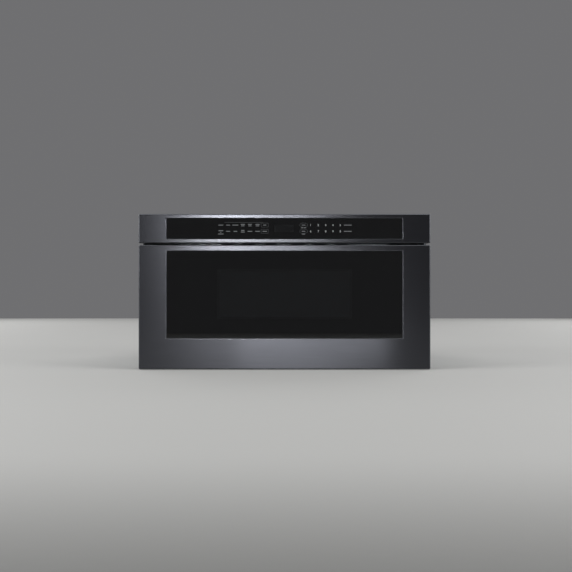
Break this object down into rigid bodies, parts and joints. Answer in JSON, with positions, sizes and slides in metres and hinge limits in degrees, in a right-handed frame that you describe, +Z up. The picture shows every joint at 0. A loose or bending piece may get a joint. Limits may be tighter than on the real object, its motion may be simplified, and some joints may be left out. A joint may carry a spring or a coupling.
{
  "type": "microwave drawer",
  "caption": "Built-in microwave drawer: oven behind a control panel, with a glass-fronted drawer that a rack-and-pinion drive moves on telescopic slides.",
  "frame": {"origin": "on the underside of the base pan, midway across, in the plane of the cabinet face: the point where the chassis meets the shelf edge", "axes": "+X to the right seen from the front, -Y out of the cabinet towards the user, +Z up"},
  "size_m": [0.7604, 0.6747, 0.4048],
  "materials": {
    "black_stainless": "black-tinted stainless steel, brushed across",
    "black_glass": "black printed glass, polished",
    "zinc_steel": "zinc-coated sheet steel, satin",
    "black_paint": "black powder coat, satin",
    "grey_enamel": "grey baked enamel on steel",
    "clear_glass": "clear pane",
    "floor_glass": "opal ceramic glass",
    "black_plastic": "moulded, fine grain",
    "white_plastic": "moulded acetal, natural white",
    "mica": "pressed mica sheet",
    "circuit_board": "solder-masked board with parts",
    "aluminium": "bare, satin",
    "ground_steel": "ground bar",
    "lamination": "varnished steel laminations",
    "galvanised_rail": "bright zinc-plated slide steel"
  },
  "bodies": {
    "chassis": {"base_pan": "zinc_steel", "side_panel_left": "zinc_steel", "side_panel_right": "zinc_steel", "back_panel": "zinc_steel", "top_cover": "zinc_steel", "front_frame": "black_paint", "oven_cavity": "grey_enamel", "rail_bracket_left": "zinc_steel", "rail_bracket_right": "zinc_steel", "fixed_rail_left": "galvanised_rail", "fixed_rail_right": "galvanised_rail", "interlock_switches_left": "white_plastic", "interlock_switches_right": "white_plastic", "oven_lamp": "white_plastic", "cord_gland": "black_plastic", "control_trim": "black_stainless", "control_glass": "black_glass", "display_module": "black_plastic", "control_board": "circuit_board", "control_tray": "black_plastic", "waveguide": "zinc_steel", "magnetron": "aluminium", "stirrer_motor": "zinc_steel", "stirrer_cover": "mica", "hv_transformer": "lamination", "hv_capacitor": "aluminium", "noise_filter": "circuit_board", "fan_housing": "zinc_steel", "fan_motor": "lamination", "air_duct": "black_plastic", "drive_motor": "black_plastic", "axle_bush_left": "white_plastic", "axle_bush_right": "white_plastic"},
    "drawer": {"drawer_front": "black_stainless", "door_glass": "black_glass", "door_back_plate": "zinc_steel", "choke_frame": "grey_enamel", "choke_cover": "black_plastic", "door_screen": "black_paint", "inner_window": "clear_glass", "drawer_box": "grey_enamel", "floor_plate": "floor_glass", "drawer_arm_left": "zinc_steel", "drawer_arm_right": "zinc_steel", "inner_rail_left": "galvanised_rail", "inner_rail_right": "galvanised_rail", "rack_left": "white_plastic", "rack_right": "white_plastic", "latch_hook_left": "black_plastic", "latch_hook_right": "black_plastic"},
    "middle_rail_left": {"middle_rail_left": "galvanised_rail"},
    "middle_rail_right": {"middle_rail_right": "galvanised_rail"},
    "cross_axle": {"cross_axle": "ground_steel", "pinion_left": "white_plastic", "pinion_right": "white_plastic", "final_gear": "white_plastic"},
    "motor_pinion": {"motor_pinion": "ground_steel"},
    "fan": {"fan_impeller": "black_plastic"},
    "stirrer": {"stirrer": "aluminium"}
  },
  "joints": [
    {"name": "drawer_slide", "type": "slide", "parent": "chassis", "child": "drawer", "axis": [0, -1, 0], "range_m": [0, 0.381]},
    {"name": "middle_rail_left_slide", "type": "slide", "parent": "chassis", "child": "middle_rail_left", "axis": [0, -1, 0], "range_m": [0, 0.1925]},
    {"name": "middle_rail_right_slide", "type": "slide", "parent": "chassis", "child": "middle_rail_right", "axis": [0, -1, 0], "range_m": [0, 0.1925]},
    {"name": "axle_spin", "type": "hinge", "parent": "chassis", "child": "cross_axle", "pos_m": [0, 0.034, 0.05], "axis": [1, 0, 0], "range_deg": [-10, 1600]},
    {"name": "motor_pinion_spin", "type": "hinge", "parent": "chassis", "child": "motor_pinion", "pos_m": [-0.12, 0.06732, 0.04107], "axis": [1, 0, 0], "range_deg": [-3650, 10]},
    {"name": "fan_spin", "type": "hinge", "parent": "chassis", "child": "fan", "pos_m": [-0.1245, 0.4945, 0.28045], "axis": [1, 0, 0], "continuous": true},
    {"name": "stirrer_spin", "type": "hinge", "parent": "chassis", "child": "stirrer", "pos_m": [0, 0.18, 0.299], "axis": [0, 0, 1], "continuous": true}
  ],
  "couplings": [
    {"joint": "middle_rail_left_slide", "follows": "drawer_slide", "ratio": 0.5},
    {"joint": "middle_rail_right_slide", "follows": "drawer_slide", "ratio": 0.5},
    {"joint": "axle_spin", "follows": "drawer_slide", "rad_per_m": 71.429},
    {"joint": "motor_pinion_spin", "follows": "drawer_slide", "rad_per_m": -163.27}
  ]
}
